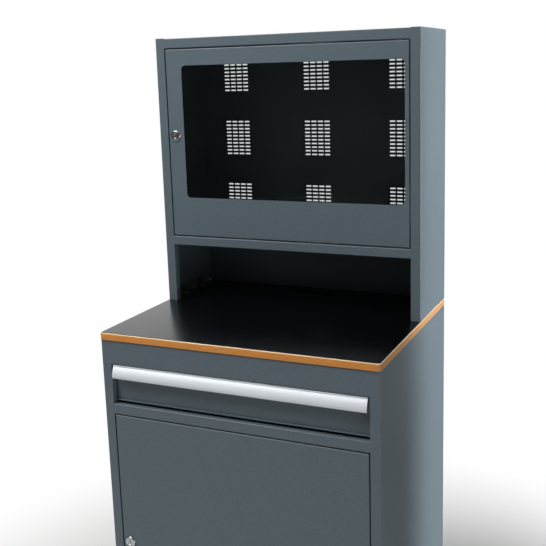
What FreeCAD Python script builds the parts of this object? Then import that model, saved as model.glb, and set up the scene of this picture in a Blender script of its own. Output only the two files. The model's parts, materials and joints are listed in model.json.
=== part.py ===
import FreeCAD, Part
import os
import re
import Sketcher
from FreeCAD import Rotation, Vector

doc = FreeCAD.newDocument("ComputerCabinet")
sheet = doc.addObject("Spreadsheet::Sheet", "Sizes")

# Driving sizes in millimetres. +Z is up and the front of the cabinet looks towards -Y.
SIZES = {
    # Whole cabinet
    "worktop_width": 717,
    "worktop_depth": 572,
    "worktop_height": 1019,
    "worktop_thick": 19,
    "upper_height": 707,
    "upper_depth": 244,
    "front_overhang": 2.5,
    "side_overhang": 1,
    "overrun": 2,
    # Sheet steel and its folds
    "sheet_thick": 1.2,
    "bend_radius": 2,
    "stile_width": 25,
    "jamb_depth": 20,
    "rear_flange": 18,
    # Worktop
    "film_thick": 0.8,
    "worktop_arris": 2.0,
    "worktop_corner": 4,
    # Base carcass
    "foot_height": 10,
    "foot_width": 42,
    "foot_corner": 5,
    "foot_inset": 65,
    "foot_flange": 50,
    "plinth_height": 50,
    "fascia_height": 60,
    "fascia_flange": 46,
    "drawer_open_height": 103,
    "mid_rail_height": 26,
    "mid_rail_flange": 32,
    "rear_rail_depth": 40,
    "rear_rail_drop": 40,
    # Adjustable shelf in the base
    "shelf_level": 560,
    "shelf_front_set": 46,
    "shelf_rear_set": 60,
    "shelf_edge_drop": 24,
    "shelf_return": 14,
    "shelf_side_gap": 1.5,
    # Upper housing
    "top_step": 1,
    "header_height": 25,
    "niche_height": 157,
    "shelf_rail_height": 24,
    "shelf_tail_drop": 16,
    # Vent slots in the upper back
    "slot_length": 15,
    "slot_height": 4,
    "slot_pitch": 19.5,
    "slot_rise": 10.15,
    "slot_columns": 4,
    "slot_rows": 10,
    "group_pitch_share": 0.3417,
    "group_rise_share": 0.2553,
    "group_columns": 3,
    "group_rows": 3,
    "vent_middle_share": 0.6068,
    # Cable outlets
    "cable_width": 110,
    "cable_depth": 34,
    "cable_corner": 8,
    "cable_wall": 2,
    "cable_lip": 6,
    "cable_lip_thick": 1,
    "cable_rear_set": 48,
    "cable_back_level": 130,
    # Angle brackets
    "bracket_leg": 22,
    "bracket_rise": 26,
    "bracket_width": 30,
    "bracket_shares": 0.3,
    "seat_clear": 0.1,
    # Doors
    "door_gap": 3.0,
    "door_depth": 19,
    "pivot_inset": 14,
    "pivot_set": 7.5,
    "pin_radius": 2.5,
    "pin_engage": 8,
    "run_clear": 0.05,
    "stop_leg": 14,
    "stop_bite": 10,
    "stop_height": 30,
    "stop_share": 0.18,
    "stiffener_width": 70,
    "stiffener_foot": 14,
    "stiffener_rise": 13,
    "stiffener_end": 24,
    # Window in the upper door
    "window_left_margin": 45.5,
    "window_right_margin": 10.5,
    "window_top_margin": 42,
    "window_bottom_margin": 104,
    "window_corner": 11,
    "pane_overlap": 7,
    "pane_thick": 4,
    "gasket_thick": 1.5,
    "gasket_set": 0.6,
    "clip_gauge": 1.2,
    "clip_gap": 0.8,
    "clip_foot": 11,
    "clip_bite": 5,
    "clip_width": 18,
    "clip_share": 0.34,
    # Cam locks
    "lock_inset": 20,
    "lock_share": 0.545,
    "rosette_radius": 14,
    "rosette_proud": 3.5,
    "plug_radius": 7,
    "plug_recess": 0.6,
    "key_slot_width": 2,
    "key_slot_height": 9,
    "key_slot_depth": 7,
    "cam_clear": 1.8,
    "cam_thick": 2,
    "cam_width": 14,
    "cam_reach": 36,
    # Drawer and its runners
    "drawer_recess": 16,
    "drawer_front_gap": 2.5,
    "drawer_lip": 7,
    "drawer_lip_lift": 8,
    "drawer_top_flange": 12,
    "tray_lift": 12,
    "tray_drop": 17,
    "tray_depth": 452,
    "tray_hem": 9,
    "rear_wall_foot": 14,
    "runner_set": 3,
    "runner_length": 445,
    "runner_height": 45,
    "runner_width": 13,
    "runner_gauge": 1.3,
    "runner_play": 0.4,
    "runner_edge": 1.5,
    "hat_foot": 11,
    # Drawer handle
    "handle_proud": 7,
    "handle_top_gap": 2,
    "handle_end_gap": 5,
    "handle_height": 35,
    "handle_wall": 2,
    "handle_ledge": 8,
    "handle_band": 3.5,
    "handle_groove": 0.7,
    "handle_nose_drop": 26,
    "handle_face_radius": 52,
    "handle_lip_back": 3.5,
    "handle_leg": 24,
}

# Places that follow from the sizes.
LAYOUT = {
    "half_width": "worktop_width / 2",
    "rear_edge": "(worktop_depth + handle_proud - front_overhang) / 2",
    "worktop_front": "rear_edge - worktop_depth",
    "worktop_rise": "worktop_height - worktop_thick",
    "film_bottom": "worktop_height - film_thick",
    "total_height": "worktop_height + upper_height",
    "body_half": "half_width - side_overhang",
    "body_inner": "body_half - sheet_thick",
    "open_half": "body_half - stile_width",
    "base_front": "worktop_front + front_overhang",
    "upper_front": "rear_edge - upper_depth",
    "back_rear": "rear_edge - sheet_thick",
    "back_front": "rear_edge - 2 * sheet_thick",
    "floor_top": "foot_height + plinth_height",
    "fascia_bottom": "worktop_rise - fascia_height",
    "drawer_floor": "fascia_bottom - drawer_open_height",
    "mid_rail_bottom": "drawer_floor - mid_rail_height",
    "niche_top": "worktop_height + niche_height",
    "monitor_floor": "niche_top + shelf_rail_height",
    "roof_top": "total_height - top_step",
    "header_bottom": "roof_top - header_height",
    "cable_rear": "back_front - cable_rear_set",
    "shelf_front": "base_front + shelf_front_set",
    "shelf_rear": "back_front - shelf_rear_set",
    "door_half": "open_half - door_gap",
    "pivot_side": "door_half - pivot_inset",
    "lower_door_bottom": "floor_top + door_gap",
    "lower_door_top": "mid_rail_bottom - door_gap",
    "group_pitch": "worktop_width * group_pitch_share",
    "group_rise": "upper_height * group_rise_share",
    "vent_middle": "worktop_height + upper_height * vent_middle_share",
    "window_door_bottom": "monitor_floor + door_gap",
    "window_door_top": "header_bottom - door_gap",
    "window_left": "window_left_margin - door_half",
    "window_right": "door_half - window_right_margin",
    "window_bottom": "window_door_bottom + window_bottom_margin",
    "window_top": "window_door_top - window_top_margin",
    "pane_left": "window_left - pane_overlap",
    "pane_right": "window_right + pane_overlap",
    "pane_bottom": "window_bottom - pane_overlap",
    "pane_top": "window_top + pane_overlap",
    "window_skin": "upper_front + sheet_thick",
    "pane_stack": "gasket_thick + pane_thick",
    "lock_side": "lock_inset - door_half",
    "cam_front": "jamb_depth + cam_clear",
    "drawer_face": "base_front + drawer_recess",
    "drawer_back_of_face": "drawer_face + sheet_thick",
    "drawer_half": "open_half - runner_width",
    "tray_bottom": "drawer_floor + tray_lift",
    "tray_top": "fascia_bottom - tray_drop",
    "tray_rear": "drawer_back_of_face + tray_depth",
    "runner_front": "base_front + jamb_depth + runner_set",
    "runner_middle": "(tray_bottom + tray_top) / 2",
    "handle_top": "fascia_bottom - handle_top_gap",
    "handle_half": "open_half - handle_end_gap",
    "handle_front": "base_front - handle_proud",
}

for row, (alias, number) in enumerate(SIZES.items(), start=1):
    sheet.set(f"A{row}", alias)
    sheet.set(f"B{row}", str(number))
    sheet.setAlias(f"B{row}", alias)
doc.recompute()

nodes = []


def formula(text):
    """Spell a formula of named sizes out as an expression on the cells of the sheet."""

    def spell(match):
        word = match.group()
        if word in LAYOUT:
            return f"({formula(LAYOUT[word])})"
        return f"Sizes.{word}" if word in SIZES else word

    return re.sub(r"[a-z_]+", spell, str(text))


def value(text):
    """The number that a formula gives now."""
    return float(sheet.evalExpression(formula(text)))


def rect(left, right, bottom, top):
    """Corners of a rectangle."""
    return [(left, bottom), (right, bottom), (right, top), (left, top)]


def circle(across, up, radius):
    """A circle by its middle and radius."""
    return ("circle", across, up, radius)


def new_body(label):
    """An empty body that becomes one sub-part."""
    body = doc.addObject("PartDesign::Body", label)
    body.AllowCompound = False
    return body


def keep(item):
    """List an object as a sub-part that is written to its own file."""
    nodes.append(item)
    return item


def refresh(*items):
    """Bring single objects up to date, the sketch before the feature that uses it."""
    for item in items:
        item.recompute()


def origin_part(body, role):
    """A plane or an axis of the body's own origin."""
    return next(part for part in body.Origin.OriginFeatures if part.Role == role)


def bind_point(item, geometry, end, across, up):
    """Hold one point of a sketch at two formulas, measured from the sketch's origin."""
    for kind, text in (("DistanceX", across), ("DistanceY", up)):
        index = item.addConstraint(Sketcher.Constraint(kind, -1, 1, geometry, end, value(text)))
        item.setExpression(f"Constraints[{index}]", formula(text))


def bind_radius(item, geometry, radius):
    """Hold the radius of a circle or an arc at a formula."""
    index = item.addConstraint(Sketcher.Constraint("Radius", geometry, value(radius)))
    item.setExpression(f"Constraints[{index}]", formula(radius))


def draw_circle(item, across, up, radius):
    """Draw one bound circle."""
    centre = Vector(value(across), value(up), 0)
    ring = item.addGeometry(Part.Circle(centre, Vector(0, 0, 1), value(radius)))
    bind_radius(item, ring, radius)
    bind_point(item, ring, 3, across, up)


def draw_arc(item, start, end, radius, turn):
    """Draw an arc between two points; turn is 1 where its middle lies left of the way, else -1."""
    middle = (start + end) / 2
    half = (end - start) / 2
    left = Vector(-half.y, half.x, 0).normalize()
    centre = middle + left * (turn * (radius**2 - half.Length**2) ** 0.5)
    first, last = (start, end) if turn > 0 else (end, start)
    span = []
    for point in (first, last):
        arm = point - centre
        span.append(Vector(1, 0, 0).getAngle(arm) * (1 if arm.y >= 0 else -1))
    arc = Part.ArcOfCircle(Part.Circle(centre, Vector(0, 0, 1), radius), *span)
    return item.addGeometry(arc), (1, 2) if turn > 0 else (2, 1)


def draw_loop(item, corners):
    """Draw one closed loop. A corner is (across, up), or (across, up, radius, turn) for an arc."""
    points = [Vector(value(corner[0]), value(corner[1]), 0) for corner in corners]
    drawn = []
    for index, corner in enumerate(corners):
        start = points[index]
        end = points[(index + 1) % len(points)]
        if len(corner) == 4:
            drawn.append(draw_arc(item, start, end, value(corner[2]), corner[3]))
            bind_radius(item, drawn[-1][0], corner[2])
        else:
            drawn.append((item.addGeometry(Part.LineSegment(start, end)), (1, 2)))
    for index, (geometry, ends) in enumerate(drawn):
        following, next_ends = drawn[(index + 1) % len(drawn)]
        item.addConstraint(Sketcher.Constraint("Coincident", geometry, ends[1], following, next_ends[0]))
    for corner, (geometry, ends) in zip(corners, drawn):
        bind_point(item, geometry, ends[0], corner[0], corner[1])


def sketch(body, plane, loops, at):
    """A bound sketch on one of the body's planes, moved along the third axis."""
    item = body.newObject("Sketcher::SketchObject", f"{body.Label}_sketch")
    item.AttachmentSupport = [(origin_part(body, plane), "")]
    item.MapMode = "FlatFace"
    way = "-" if plane == "XZ_Plane" else ""
    item.setExpression("AttachmentOffset.Base.z", formula(f"{way}({at})"))
    for loop in loops:
        if loop[0] == "circle":
            draw_circle(item, *loop[1:])
        else:
            draw_loop(item, loop)
    item.Visibility = False
    return item


def pad(body, plane, loops, at, length):
    """Material from a sketch, grown along the positive axis."""
    profile = sketch(body, plane, loops, at)
    item = body.newObject("PartDesign::Pad", f"{body.Label}_pad")
    item.Profile = profile
    item.Reversed = plane == "XZ_Plane"
    item.setExpression("Length", formula(length))
    refresh(profile, item)
    return item


def cut(body, plane, loops, at="0", length=None):
    """A pocket along the positive axis, or right through both ways where no length is given."""
    before = body.Tip.Shape.Volume
    profile = sketch(body, plane, loops, at)
    item = body.newObject("PartDesign::Pocket", f"{body.Label}_cut")
    item.Profile = profile
    if length is None:
        item.Type = "ThroughAll"
        item.Midplane = True
    else:
        item.Reversed = plane != "XZ_Plane"
        item.setExpression("Length", formula(length))
    refresh(profile, item)
    if item.Shape.Volume >= before:
        raise RuntimeError(f"{body.Label}: the pocket removes nothing")
    return item


SEEN = {"XY_Plane": (0, 1), "XZ_Plane": (0, 2), "YZ_Plane": (1, 2)}


def edges_at(body, plane, corners):
    """Names of the edges that stand on a plane's corners."""
    across, up = SEEN[plane]
    wanted = [(value(corner[0]), value(corner[1])) for corner in corners]
    near = 1e-4
    names = []
    for number, edge in enumerate(body.Tip.Shape.Edges, start=1):
        ends = [vertex.Point for vertex in edge.Vertexes]
        for spot in wanted:
            if len(ends) == 2 and all(
                abs(end[across] - spot[0]) < near and abs(end[up] - spot[1]) < near for end in ends
            ):
                names.append(f"Edge{number}")
    return names


def soften(body, names, radius, kind="Fillet"):
    """Round or chamfer some edges of the body."""
    base = body.Tip
    item = body.newObject(f"PartDesign::{kind}", f"{body.Label}_{kind.lower()}")
    item.Base = (base, names)
    item.setExpression("Radius" if kind == "Fillet" else "Size", formula(radius))
    refresh(item)
    return item


def folded(label, plane, corners, at, length, folds=()):
    """A folded sheet: its section grown along the third axis, the listed folds rounded outside."""
    body = keep(new_body(label))
    pad(body, plane, [corners], at, length)
    if folds:
        soften(body, edges_at(body, plane, [corners[i] for i in folds]), "bend_radius")
    return body


def place(item, across, along, up, rotation=None):
    """Move an object to a place given by formulas."""
    if rotation is not None:
        item.Placement.Rotation = rotation
    for axis, text in zip("xyz", (across, along, up)):
        item.setExpression(f"Placement.Base.{axis}", formula(text))
    return item


def group(label, pattern, spots):
    """Several equal pieces as one sub-part, each a link to the pattern piece."""
    links = []
    for number, spot in enumerate(spots, start=1):
        link = doc.addObject("App::Link", f"{label}_{number}")
        link.LinkedObject = pattern
        links.append(place(link, *spot))
    item = doc.addObject("Part::Compound", label)
    item.Links = links
    return keep(item)


STRAIGHT = Rotation()
HALF_TURN_X = Rotation(Vector(1, 0, 0), 180)
HALF_TURN_Y = Rotation(Vector(0, 1, 0), 180)
HALF_TURN_Z = Rotation(Vector(0, 0, 1), 180)
QUARTER_TURN_Y = Rotation(Vector(0, 1, 0), -90)


def side_panel(label, side, front, bottom, height):
    """Side wall with its front stile, the return round the opening and a rear flange."""

    def x(text):
        return f"{side} * ({text})"

    corners = [
        (x("body_half"), front),
        (x("body_half"), "rear_edge"),
        (x("body_half - rear_flange"), "rear_edge"),
        (x("body_half - rear_flange"), "back_rear"),
        (x("body_inner"), "back_rear"),
        (x("body_inner"), f"{front} + sheet_thick"),
        (x("open_half + sheet_thick"), f"{front} + sheet_thick"),
        (x("open_half + sheet_thick"), f"{front} + jamb_depth"),
        (x("open_half"), f"{front} + jamb_depth"),
        (x("open_half"), front),
    ]
    return folded(label, "XY_Plane", corners, bottom, height, (0, 1))


def channel(label, front, bottom, top, top_reach, bottom_reach):
    """Rail between the stiles, a channel that is open to the rear."""
    corners = [
        (front, bottom),
        (front, top),
        (f"{front} + {top_reach}", top),
        (f"{front} + {top_reach}", f"{top} - sheet_thick"),
        (f"{front} + sheet_thick", f"{top} - sheet_thick"),
        (f"{front} + sheet_thick", f"{bottom} + sheet_thick"),
        (f"{front} + {bottom_reach}", f"{bottom} + sheet_thick"),
        (f"{front} + {bottom_reach}", bottom),
    ]
    return folded(label, "YZ_Plane", corners, "-open_half", "2 * open_half", (0, 1))


def notch_front(body, front, depth="jamb_depth", *span):
    """Cut the front corners of a full-width sheet free of the two stiles."""
    for side in (-1, 1):
        ends = (f"{side} * open_half", f"{side} * (body_half + overrun)")
        near = f"{front} - overrun"
        cut(body, "XY_Plane", [rect(*ends, near, f"{front} + {depth}")], *span)


# Base: side walls
BASE_WALL = "worktop_rise - foot_height"
side_panel("base_left_side", -1, "base_front", "foot_height", BASE_WALL)
side_panel("base_right_side", 1, "base_front", "foot_height", BASE_WALL)

# Base: floor with the plinth in front and flanges for the feet
floor_corners = [
    ("base_front", "foot_height"),
    ("base_front", "floor_top"),
    ("back_front", "floor_top"),
    ("back_front", "foot_height"),
    ("back_front - foot_flange", "foot_height"),
    ("back_front - foot_flange", "foot_height + sheet_thick"),
    ("back_front - sheet_thick", "foot_height + sheet_thick"),
    ("back_front - sheet_thick", "floor_top - sheet_thick"),
    ("base_front + sheet_thick", "floor_top - sheet_thick"),
    ("base_front + sheet_thick", "foot_height + sheet_thick"),
    ("base_front + foot_flange", "foot_height + sheet_thick"),
    ("base_front + foot_flange", "foot_height"),
]
FULL_WIDTH = ("-body_inner", "2 * body_inner")
floor = folded("base_floor", "YZ_Plane", floor_corners, *FULL_WIDTH, (1,))
notch_front(floor, "base_front")
foot_spots = []
for side in (-1, 1):
    for along in ("base_front + foot_flange / 2", "back_front - foot_flange / 2"):
        foot_spots.append((f"{side} * (body_half - foot_inset)", along, "foot_height"))
FOOT_BOX = rect("-foot_width / 2", "foot_width / 2", "-foot_width / 2", "foot_width / 2")
foot = new_body("foot_pattern")
pad(foot, "XY_Plane", [FOOT_BOX], "-foot_height", "foot_height")
soften(foot, edges_at(foot, "XY_Plane", FOOT_BOX), "foot_corner", "Chamfer")
group("feet", foot, foot_spots)
BASE_PIVOT = ("pivot_side", "base_front + pivot_set")
UPPER_PIVOT = ("pivot_side", "upper_front + pivot_set")

# Base: fascia above the drawer, rail below it, rail at the rear
channel("base_fascia", "base_front", "fascia_bottom", "worktop_rise", "fascia_flange", "jamb_depth")
channel(
    "base_mid_rail", "base_front", "mid_rail_bottom", "drawer_floor", "mid_rail_flange", "mid_rail_flange"
)
rear_rail_corners = [
    ("back_front", "worktop_rise"),
    ("back_front - rear_rail_depth", "worktop_rise"),
    ("back_front - rear_rail_depth", "worktop_rise - sheet_thick"),
    ("back_front - sheet_thick", "worktop_rise - sheet_thick"),
    ("back_front - sheet_thick", "worktop_rise - rear_rail_drop"),
    ("back_front", "worktop_rise - rear_rail_drop"),
]
folded("base_rear_rail", "YZ_Plane", rear_rail_corners, *FULL_WIDTH, (0,))

# Base: back with an outlet for cables
back_hole = rect("-cable_width / 2", "cable_width / 2", "cable_back_level", "cable_back_level + cable_depth")
base_back = keep(new_body("base_back"))
pad(
    base_back,
    "XZ_Plane",
    [rect("-body_inner", "body_inner", "foot_height", "worktop_rise"), back_hole],
    "back_front",
    "sheet_thick",
)

# Base: adjustable shelf
shelf_corners = [
    ("shelf_front", "shelf_level"),
    ("shelf_rear", "shelf_level"),
    ("shelf_rear", "shelf_level - shelf_edge_drop"),
    ("shelf_rear - sheet_thick", "shelf_level - shelf_edge_drop"),
    ("shelf_rear - sheet_thick", "shelf_level - sheet_thick"),
    ("shelf_front + sheet_thick", "shelf_level - sheet_thick"),
    ("shelf_front + sheet_thick", "shelf_level - shelf_edge_drop + sheet_thick"),
    ("shelf_front + shelf_return", "shelf_level - shelf_edge_drop + sheet_thick"),
    ("shelf_front + shelf_return", "shelf_level - shelf_edge_drop"),
    ("shelf_front", "shelf_level - shelf_edge_drop"),
]
SHELF_HALF = "(body_inner - shelf_side_gap)"
folded("base_shelf", "YZ_Plane", shelf_corners, f"-{SHELF_HALF}", f"2 * {SHELF_HALF}")

# Angle bracket: carries the shelf, and holds the upper housing to the worktop
bracket_corners = [
    ("-bracket_leg", "0"),
    ("0", "0"),
    ("0", "bracket_rise"),
    ("-sheet_thick", "bracket_rise"),
    ("-sheet_thick", "sheet_thick"),
    ("-bracket_leg", "sheet_thick"),
]
bracket = new_body("bracket_pattern")
pad(bracket, "XZ_Plane", [bracket_corners], "-bracket_width / 2", "bracket_width")

clip_spots = []
bracket_spots = []
for share in ("bracket_shares", "(1 - bracket_shares)"):
    shelf_along = f"shelf_front + (shelf_rear - shelf_front) * {share}"
    clip_spots.append(("body_inner", shelf_along, "shelf_level - sheet_thick", HALF_TURN_X))
    clip_spots.append(("-body_inner", shelf_along, "shelf_level - sheet_thick", HALF_TURN_Y))
    housing_along = f"upper_front + upper_depth * {share}"
    bracket_spots.append(("body_inner", housing_along, "worktop_height", STRAIGHT))
    bracket_spots.append(("-body_inner", housing_along, "worktop_height", HALF_TURN_Z))
group("shelf_clips", bracket, clip_spots)
group("housing_brackets", bracket, bracket_spots)

# Worktop: plywood board under a black film
CABLE_BOX = ("-cable_width / 2", "cable_width / 2", "cable_rear - cable_depth", "cable_rear")
cable_hole = rect(*CABLE_BOX)
board_outline = rect("-half_width", "half_width", "worktop_front", "rear_edge")
board = keep(new_body("worktop_board"))
pad(board, "XY_Plane", [board_outline, cable_hole], "worktop_rise", "worktop_thick - film_thick")
soften(board, edges_at(board, "XY_Plane", board_outline), "worktop_corner")
top_rim = []
for number, edge in enumerate(board.Tip.Shape.Edges, start=1):
    box = edge.BoundBox
    high = abs(box.ZMin - value("film_bottom")) < 1e-4
    beside = abs(box.Center.x) > value("cable_width")
    behind = box.Center.y > value("cable_rear + overrun")
    before = box.Center.y < value("cable_rear - cable_depth - overrun")
    if high and (beside or behind or before):
        top_rim.append(f"Edge{number}")
soften(board, top_rim, "worktop_arris", "Chamfer")
film_outline = rect(
    "worktop_arris - half_width",
    "half_width - worktop_arris",
    "worktop_front + worktop_arris",
    "rear_edge - worktop_arris",
)
film = keep(new_body("worktop_film"))
pad(film, "XY_Plane", [film_outline, cable_hole], "film_bottom", "film_thick")
soften(film, edges_at(film, "XY_Plane", film_outline), "worktop_corner - worktop_arris")

# Upper housing: side walls and roof
ROOF_UNDER = "(roof_top - sheet_thick)"
for side, name in ((-1, "left"), (1, "right")):
    wall = side_panel(f"upper_{name}_side", side, "upper_front", "worktop_height", "upper_height")
    ends = (f"{side} * (open_half - overrun)", f"{side} * body_inner")
    depth = ("upper_front + sheet_thick", "upper_front + jamb_depth + overrun")
    cut(wall, "XY_Plane", [rect(*ends, *depth)], ROOF_UNDER, "top_step + sheet_thick + overrun")
roof_corners = [
    ("upper_front", "header_bottom"),
    ("upper_front", "roof_top"),
    ("back_front", "roof_top"),
    ("back_front", "roof_top - rear_flange"),
    ("back_front - sheet_thick", "roof_top - rear_flange"),
    ("back_front - sheet_thick", "roof_top - sheet_thick"),
    ("upper_front + sheet_thick", "roof_top - sheet_thick"),
    ("upper_front + sheet_thick", "header_bottom + sheet_thick"),
    ("upper_front + jamb_depth", "header_bottom + sheet_thick"),
    ("upper_front + jamb_depth", "header_bottom"),
]
roof = folded("upper_roof", "YZ_Plane", roof_corners, *FULL_WIDTH, (0, 1, 2))
notch_front(roof, "upper_front", "sheet_thick")
HEADER_SPAN = ("header_bottom - overrun", f"{ROOF_UNDER} - header_bottom + overrun")
notch_front(roof, "upper_front", "jamb_depth", *HEADER_SPAN)

# Upper housing: back with its groups of vent slots
upper_back = keep(new_body("upper_back"))
pad(
    upper_back,
    "XZ_Plane",
    [rect("-body_inner", "body_inner", "worktop_height", "roof_top")],
    "back_front",
    "sheet_thick",
)
FIRST_ACROSS = "(-group_pitch * (group_columns - 1) / 2 - slot_pitch * (slot_columns - 1) / 2)"
LOWEST_GROUP = "(vent_middle - group_rise * (group_rows - 1) / 2)"
FIRST_UP = f"({LOWEST_GROUP} - slot_rise * (slot_rows - 1) / 2)"
first_slot = rect(
    f"{FIRST_ACROSS} - slot_length / 2",
    f"{FIRST_ACROSS} + slot_length / 2",
    f"{FIRST_UP} - slot_height / 2",
    f"{FIRST_UP} + slot_height / 2",
)
slot_cut = cut(upper_back, "XZ_Plane", [first_slot])
one_slot = value("slot_length * slot_height * sheet_thick")
vents = upper_back.newObject("PartDesign::MultiTransform", "vent_slots")
vents.Originals = [slot_cut]
rows_of_slots = []
for name, axis, count, step in (
    ("slots_across", "X_Axis", "slot_columns", "slot_pitch"),
    ("slots_up", "Z_Axis", "slot_rows", "slot_rise"),
    ("groups_across", "X_Axis", "group_columns", "group_pitch"),
    ("groups_up", "Z_Axis", "group_rows", "group_rise"),
):
    row = upper_back.newObject("PartDesign::LinearPattern", name)
    row.Direction = (origin_part(upper_back, axis), [""])
    row.Mode = "Spacing"
    row.setExpression("Occurrences", formula(count))
    row.setExpression("Offset", formula(step))
    rows_of_slots.append(row)
vents.Transformations = rows_of_slots
upper_back.Tip = vents

# Upper housing: monitor shelf with its front rail
monitor_corners = [
    ("upper_front", "niche_top"),
    ("upper_front", "monitor_floor"),
    ("back_front", "monitor_floor"),
    ("back_front", "monitor_floor - shelf_tail_drop"),
    ("back_front - sheet_thick", "monitor_floor - shelf_tail_drop"),
    ("back_front - sheet_thick", "monitor_floor - sheet_thick"),
    ("upper_front + sheet_thick", "monitor_floor - sheet_thick"),
    ("upper_front + sheet_thick", "niche_top + sheet_thick"),
    ("upper_front + jamb_depth", "niche_top + sheet_thick"),
    ("upper_front + jamb_depth", "niche_top"),
]
monitor_shelf = folded("monitor_shelf", "YZ_Plane", monitor_corners, *FULL_WIDTH, (0, 1, 2))
notch_front(monitor_shelf, "upper_front")
cut(monitor_shelf, "XY_Plane", [cable_hole])


def outlet(label, plane, box, sleeve_start, sleeve_length, lip_start):
    """Plastic frame in a cable outlet: a sleeve in the hole and a lip on the sheet."""
    left, right, low, high = box
    rings = []
    for grow in ("-seat_clear", "-seat_clear - cable_wall", "cable_lip"):
        across = (f"{left} - ({grow})", f"{right} + ({grow})")
        rings.append(rect(*across, f"{low} - ({grow})", f"{high} + ({grow})"))
    sleeve, bore, lip = rings
    body = keep(new_body(label))
    pad(body, plane, [sleeve, bore], sleeve_start, sleeve_length)
    pad(body, plane, [lip, bore], lip_start, "cable_lip_thick")
    soften(body, edges_at(body, plane, lip), "cable_corner", "Chamfer")
    return body


outlet("worktop_outlet", "XY_Plane", CABLE_BOX, "worktop_rise", "worktop_thick", "worktop_height")
SHELF_SLEEVE = ("monitor_floor - cable_lip", "cable_lip")
outlet("shelf_outlet", "XY_Plane", CABLE_BOX, *SHELF_SLEEVE, "monitor_floor")
BACK_BOX = ("-cable_width / 2", "cable_width / 2", "cable_back_level", "cable_back_level + cable_depth")
outlet("back_outlet", "XZ_Plane", BACK_BOX, "back_rear - cable_lip", "cable_lip", "back_rear")


def pan(label, front, bottom, top):
    """Door of one sheet, its four edges folded to the rear."""
    body = keep(new_body(label))
    outline = rect("-door_half", "door_half", bottom, top)
    inner = rect(
        "sheet_thick - door_half",
        "door_half - sheet_thick",
        f"{bottom} + sheet_thick",
        f"{top} - sheet_thick",
    )
    pad(body, "XZ_Plane", [outline], front, "sheet_thick")
    pad(body, "XZ_Plane", [outline, inner], front, "door_depth")
    rim = edges_at(body, "XY_Plane", [("-door_half", front), ("door_half", front)])
    rim += edges_at(body, "YZ_Plane", [(front, bottom), (front, top)])
    soften(body, rim, "bend_radius")
    cut(body, "XY_Plane", [circle("pivot_side", f"{front} + pivot_set", "pin_radius + run_clear")])
    return body


def lock_height(bottom, top):
    """Height of a lock between the two ends of its door."""
    return f"({bottom} + ({top} - {bottom}) * lock_share)"


PLUG_FACE = "(plug_recess - rosette_proud)"


def cam_lock(door, name, front, height):
    """Cam lock in a door: the rosette stays with the door, plug and cam turn in it."""
    lock_place = ("lock_side", front, height)
    bore = "plug_radius + run_clear"
    cut(door, "XZ_Plane", [circle("lock_side", height, bore)])
    rosette = keep(new_body(f"{name}_rosette"))
    ring = [circle("0", "0", "rosette_radius"), circle("0", "0", bore)]
    pad(rosette, "XZ_Plane", ring, "-rosette_proud", "rosette_proud")
    place(rosette, *lock_place)
    plug = keep(new_body(f"{name}_plug"))
    pad(plug, "XZ_Plane", [circle("0", "0", "plug_radius")], PLUG_FACE, f"cam_front - {PLUG_FACE}")
    slot = rect("-key_slot_width / 2", "key_slot_width / 2", "-key_slot_height / 2", "key_slot_height / 2")
    cut(plug, "XZ_Plane", [slot], f"{PLUG_FACE} - overrun", "overrun + key_slot_depth")
    place(plug, *lock_place)
    cam = keep(new_body(f"{name}_cam"))
    outline = [
        ("cam_width / 2", "cam_width / 4"),
        ("cam_width / 4", "cam_width / 2"),
        ("-cam_width / 4", "cam_width / 2"),
        ("-cam_width / 2", "cam_width / 4"),
        ("-cam_width / 2", "-cam_reach"),
        ("cam_width / 2", "-cam_reach"),
    ]
    pad(cam, "XZ_Plane", [outline], "cam_front", "cam_thick")
    place(cam, *lock_place)


# Hinges: pins welded to the rails, each turning in a hole of the door's flange
pin = doc.addObject("Part::Cylinder", "pin_pattern")
pin.setExpression("Radius", formula("pin_radius"))
pin.setExpression("Height", formula("door_gap + pin_engage"))

# Lower door
lower_door = pan("lower_door_panel", "base_front", "lower_door_bottom", "lower_door_top")
group("lower_hinge_pins", pin, [(*BASE_PIVOT, "lower_door_top - pin_engage"), (*BASE_PIVOT, "floor_top")])
SKIN = "(base_front + sheet_thick)"
CREST = f"({SKIN} + stiffener_rise)"
WING = "stiffener_width / 2"
hat_corners = [
    (f"-{WING}", SKIN),
    (f"stiffener_foot - {WING}", SKIN),
    (f"stiffener_foot - {WING}", f"{CREST} - sheet_thick"),
    (f"{WING} - stiffener_foot", f"{CREST} - sheet_thick"),
    (f"{WING} - stiffener_foot", SKIN),
    (WING, SKIN),
    (WING, f"{SKIN} + sheet_thick"),
    (f"{WING} - stiffener_foot + sheet_thick", f"{SKIN} + sheet_thick"),
    (f"{WING} - stiffener_foot + sheet_thick", CREST),
    (f"stiffener_foot - sheet_thick - {WING}", CREST),
    (f"stiffener_foot - sheet_thick - {WING}", f"{SKIN} + sheet_thick"),
    (f"-{WING}", f"{SKIN} + sheet_thick"),
]
folded(
    "lower_door_stiffener",
    "XY_Plane",
    hat_corners,
    "lower_door_bottom + stiffener_end",
    "lower_door_top - lower_door_bottom - 2 * stiffener_end",
)
cam_lock(lower_door, "lower_lock", "base_front", lock_height("lower_door_bottom", "lower_door_top"))

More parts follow.
